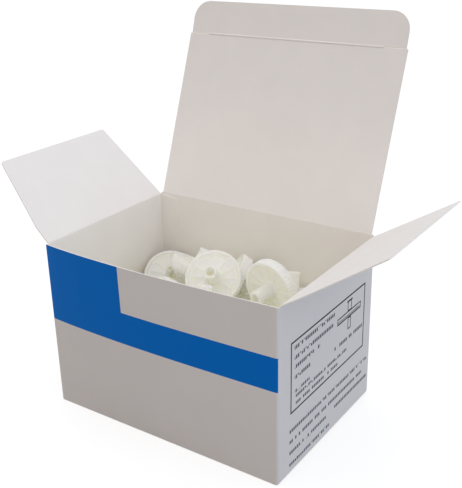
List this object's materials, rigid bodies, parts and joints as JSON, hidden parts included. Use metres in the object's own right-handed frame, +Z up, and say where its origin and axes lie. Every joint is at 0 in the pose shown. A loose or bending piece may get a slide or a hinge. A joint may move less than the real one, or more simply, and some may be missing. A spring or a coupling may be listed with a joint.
{
  "type": "open tuck-top carton of syringe filters",
  "caption": "Folding carton with a tuck-top lid and two dust flaps standing open over a loose heap of disc-shaped syringe filters with luer hubs.",
  "frame": {"origin": "centre of the carton's base, on the surface it stands on", "axes": "+X to the right along the front panel, +Y from the front panel to the back, +Z up"},
  "size_m": [0.2177, 0.1343, 0.1944],
  "materials": {
    "carton_board": "clay-coated white boxboard, satin outside with blue print, uncoated grey-white inside",
    "filter_housing": "natural translucent polypropylene, moulded, slightly glossy",
    "filter_membrane": "white porous PTFE film, matt"
  },
  "bodies": {
    "carton": {"carton_body": "carton_board", "filter_01": "filter_housing", "filter_02": "filter_housing", "filter_03": "filter_housing", "filter_04": "filter_housing", "filter_05": "filter_housing", "filter_06": "filter_housing", "filter_07": "filter_housing", "filter_08": "filter_housing", "filter_09": "filter_housing", "filter_10": "filter_housing", "filter_11": "filter_housing", "filter_12": "filter_housing", "filter_13": "filter_housing", "filter_14": "filter_housing", "filter_15": "filter_housing", "filter_16": "filter_housing", "filter_17": "filter_housing", "filter_18": "filter_housing", "filter_19": "filter_housing", "filter_20": "filter_housing", "filter_21": "filter_housing", "filter_22": "filter_housing", "filter_23": "filter_housing", "filter_24": "filter_housing", "filter_25": "filter_housing", "filter_26": "filter_housing", "filter_27": "filter_housing", "filter_28": "filter_housing", "filter_29": "filter_housing", "filter_30": "filter_housing", "filter_31": "filter_housing", "filter_32": "filter_housing", "filter_33": "filter_housing", "filter_34": "filter_housing", "filter_35": "filter_housing", "filter_36": "filter_housing", "filter_37": "filter_housing", "filter_38": "filter_housing", "filter_39": "filter_housing", "filter_40": "filter_housing", "filter_41": "filter_housing", "filter_42": "filter_housing", "filter_43": "filter_housing", "filter_44": "filter_housing", "filter_45": "filter_housing", "filter_46": "filter_housing", "filter_47": "filter_housing", "filter_48": "filter_housing", "filter_49_inlet_shell": "filter_housing", "filter_49_membrane": "filter_membrane", "filter_49_outlet_shell": "filter_housing", "filter_50_inlet_shell": "filter_housing", "filter_50_membrane": "filter_membrane", "filter_50_outlet_shell": "filter_housing"},
    "lid": {"lid_panel": "carton_board"},
    "tuck": {"tuck_flap": "carton_board"},
    "left_flap": {"left_dust_flap": "carton_board"},
    "right_flap": {"right_dust_flap": "carton_board"}
  },
  "joints": [
    {"name": "lid_hinge", "type": "hinge", "parent": "carton", "child": "lid", "pos_m": [0, 0.0466, 0.091], "axis": [1, 0, 0], "range_deg": [-114.1, 110.9]},
    {"name": "tuck_hinge", "type": "hinge", "parent": "lid", "child": "tuck", "pos_m": [0, 0.07947, 0.17709], "axis": [1, 0, 0], "range_deg": [-34, 86]},
    {"name": "left_flap_hinge", "type": "hinge", "parent": "carton", "child": "left_flap", "pos_m": [-0.0675, 0, 0.09], "axis": [0, 1, 0], "range_deg": [-95.4, 139.6]},
    {"name": "right_flap_hinge", "type": "hinge", "parent": "carton", "child": "right_flap", "pos_m": [0.0675, 0, 0.09], "axis": [0, -1, 0], "range_deg": [-87.6, 147.4]}
  ]
}
